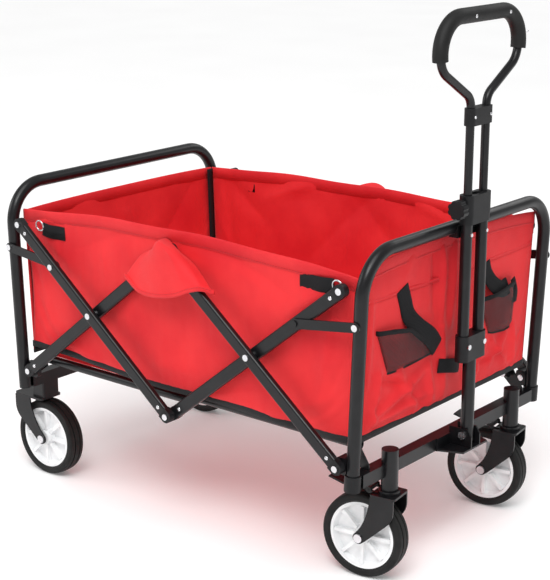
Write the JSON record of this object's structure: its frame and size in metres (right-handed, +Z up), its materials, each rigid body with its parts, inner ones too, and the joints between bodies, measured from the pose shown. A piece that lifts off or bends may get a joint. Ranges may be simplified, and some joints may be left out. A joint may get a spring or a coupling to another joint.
{
  "type": "folding wagon",
  "caption": "Folding four-wheeled camp wagon with a red cloth tub, black scissor side frames, swivelling front casters and a telescoping pull handle.",
  "frame": {"origin": "on the floor under the centre of the wagon's overall box", "axes": "+X toward the handle end, +Y to the wagon's left side, +Z up"},
  "size_m": [0.883, 0.6042, 0.9185],
  "materials": {
    "black_frame": "glossy black powder coat",
    "rivet_steel": "bright plated steel",
    "tyre_rubber": "solid black rubber-like tread",
    "white_hub": "moulded white plastic",
    "black_plastic": "moulded black plastic",
    "grip_rubber": "soft black grip",
    "black_mesh": "open black mesh with webbing edge",
    "red_cloth": "coated woven polyester"
  },
  "bodies": {
    "base": {"rear_hoop": "black_frame", "rear_cross_tube": "black_frame", "rear_bar_brackets": "black_frame", "rear_frame_rivets": "rivet_steel", "rear_forks": "black_frame", "rear_axles": "rivet_steel", "rear_panel": "red_cloth", "tub_floor": "red_cloth", "tub_side_left": "red_cloth", "tub_side_right": "red_cloth"},
    "rear_left_wheel": {"rear_left_tyre": "tyre_rubber", "rear_left_hub": "white_hub"},
    "rear_right_wheel": {"rear_right_tyre": "tyre_rubber", "rear_right_hub": "white_hub"},
    "rear_inner": {"rear_inner_bars": "black_frame", "rear_inner_plugs": "black_plastic"},
    "rear_outer": {"rear_outer_bars": "black_frame", "rear_outer_plugs": "black_plastic", "rear_outer_rivets": "rivet_steel"},
    "front_inner": {"front_inner_bars": "black_frame", "front_inner_plugs": "black_plastic", "front_inner_rivets": "rivet_steel"},
    "front_outer": {"front_outer_bars": "black_frame", "front_outer_plugs": "black_plastic", "front_outer_rivets": "rivet_steel"},
    "rear_link_pair": {"rear_links": "black_frame"},
    "front_link_pair": {"front_links": "black_frame"},
    "rear_floor": {"rear_floor_frame": "black_frame", "rear_floor_board": "red_cloth"},
    "front_floor": {"front_floor_frame": "black_frame", "front_floor_board": "red_cloth"},
    "front_frame": {"front_hoop": "black_frame", "front_cross_tube": "black_frame", "front_leg_sleeves": "black_plastic", "front_bar_brackets": "black_frame", "front_frame_rivets": "rivet_steel", "front_panel": "red_cloth", "cup_pockets": "black_mesh", "handle_bracket": "black_frame", "handle_hinge_pin": "rivet_steel", "handle_clip": "black_plastic"},
    "handle": {"handle_base_tube": "black_frame", "handle_lower_clamp": "black_plastic", "handle_sleeves": "black_frame", "handle_collar": "black_plastic", "handle_rivets": "rivet_steel"},
    "handle_slider": {"handle_loop": "black_frame", "handle_spacer": "black_plastic", "handle_grip": "grip_rubber"},
    "knob": {"lock_knob": "black_plastic"},
    "caster_left": {"caster_left_fork": "black_frame", "caster_left_axle": "rivet_steel"},
    "caster_left_wheel": {"front_left_tyre": "tyre_rubber", "front_left_hub": "white_hub"},
    "pedal_left": {"brake_pedal_left": "black_plastic"},
    "caster_right": {"caster_right_fork": "black_frame", "caster_right_axle": "rivet_steel"},
    "caster_right_wheel": {"front_right_tyre": "tyre_rubber", "front_right_hub": "white_hub"},
    "pedal_right": {"brake_pedal_right": "black_plastic"}
  },
  "joints": [
    {"name": "fold", "type": "hinge", "parent": "base", "child": "rear_inner", "pos_m": [-0.3525, 0, 0.223], "axis": [0, -1, 0], "range_deg": [0, 41.4], "deforming": ["tub_floor", "tub_side_left", "tub_side_right"]},
    {"name": "rear_cross", "type": "hinge", "parent": "rear_inner", "child": "rear_outer", "pos_m": [-0.1715, 0, 0.3675], "axis": [0, -1, 0], "range_deg": [-82.81, 0]},
    {"name": "bottom_middle", "type": "hinge", "parent": "rear_outer", "child": "front_inner", "pos_m": [0.0095, 0, 0.223], "axis": [0, -1, 0], "range_deg": [0, 82.81]},
    {"name": "front_cross", "type": "hinge", "parent": "front_inner", "child": "front_outer", "pos_m": [0.1905, 0, 0.3675], "axis": [0, -1, 0], "range_deg": [-82.81, 0]},
    {"name": "front_foot", "type": "hinge", "parent": "front_outer", "child": "front_frame", "pos_m": [0.3715, 0, 0.223], "axis": [0, -1, 0], "range_deg": [0, 41.41]},
    {"name": "rear_link_swing", "type": "hinge", "parent": "base", "child": "rear_link_pair", "pos_m": [-0.38512, 0, 0.455], "axis": [0, -1, 0], "range_deg": [0, 71.52]},
    {"name": "front_link_swing", "type": "hinge", "parent": "front_frame", "child": "front_link_pair", "pos_m": [0.39714, 0, 0.455], "axis": [0, -1, 0], "range_deg": [-74.92, 0]},
    {"name": "rear_floor_lift", "type": "hinge", "parent": "base", "child": "rear_floor", "pos_m": [-0.3405, 0, 0.24], "axis": [0, -1, 0], "range_deg": [0, 78.73]},
    {"name": "front_floor_lift", "type": "hinge", "parent": "front_frame", "child": "front_floor", "pos_m": [0.3595, 0, 0.24], "axis": [0, -1, 0], "range_deg": [-78.73, 0]},
    {"name": "rear_left_roll", "type": "hinge", "parent": "base", "child": "rear_left_wheel", "pos_m": [-0.3685, 0.219, 0.073], "axis": [0, 1, 0], "continuous": true},
    {"name": "rear_right_roll", "type": "hinge", "parent": "base", "child": "rear_right_wheel", "pos_m": [-0.3685, -0.219, 0.073], "axis": [0, 1, 0], "continuous": true},
    {"name": "caster_left_swivel", "type": "hinge", "parent": "front_frame", "child": "caster_left", "pos_m": [0.3975, 0.187, 0.155], "axis": [0, 0, 1], "continuous": true},
    {"name": "caster_left_roll", "type": "hinge", "parent": "caster_left", "child": "caster_left_wheel", "pos_m": [0.35591, 0.18116, 0.073], "axis": [-0.1392, 0.9903, 0], "continuous": true},
    {"name": "brake_left", "type": "hinge", "parent": "caster_left", "child": "pedal_left", "pos_m": [0.36779, 0.18282, 0.157], "axis": [0.1392, -0.9903, 0], "range_deg": [0, 16]},
    {"name": "caster_right_swivel", "type": "hinge", "parent": "front_frame", "child": "caster_right", "pos_m": [0.3975, -0.187, 0.155], "axis": [0, 0, 1], "continuous": true},
    {"name": "caster_right_roll", "type": "hinge", "parent": "caster_right", "child": "caster_right_wheel", "pos_m": [0.35591, -0.19284, 0.073], "axis": [-0.1392, 0.9903, 0], "continuous": true},
    {"name": "brake_right", "type": "hinge", "parent": "caster_right", "child": "pedal_right", "pos_m": [0.36779, -0.19118, 0.157], "axis": [0.1392, -0.9903, 0], "range_deg": [0, 16]},
    {"name": "handle_tilt", "type": "hinge", "parent": "front_frame", "child": "handle", "pos_m": [0.4235, 0, 0.206], "axis": [0, 1, 0], "range_deg": [0, 90]},
    {"name": "handle_slide", "type": "slide", "parent": "handle", "child": "handle_slider", "axis": [0, 0, 1], "range_m": [-0.11, 0]},
    {"name": "knob_turn", "type": "hinge", "parent": "handle", "child": "knob", "pos_m": [0.4235, -0.045, 0.6], "axis": [0, 1, 0], "continuous": true}
  ],
  "couplings": [
    {"joint": "rear_cross", "follows": "fold", "ratio": -2},
    {"joint": "bottom_middle", "follows": "fold", "ratio": 2},
    {"joint": "front_cross", "follows": "fold", "ratio": -2},
    {"joint": "front_foot", "follows": "fold", "ratio": 1},
    {"joint": "rear_link_swing", "follows": "fold", "ratio": 1.7274},
    {"joint": "front_link_swing", "follows": "fold", "ratio": -1.8094},
    {"joint": "rear_floor_lift", "follows": "fold", "ratio": 1.9016},
    {"joint": "front_floor_lift", "follows": "fold", "ratio": -1.9016}
  ]
}
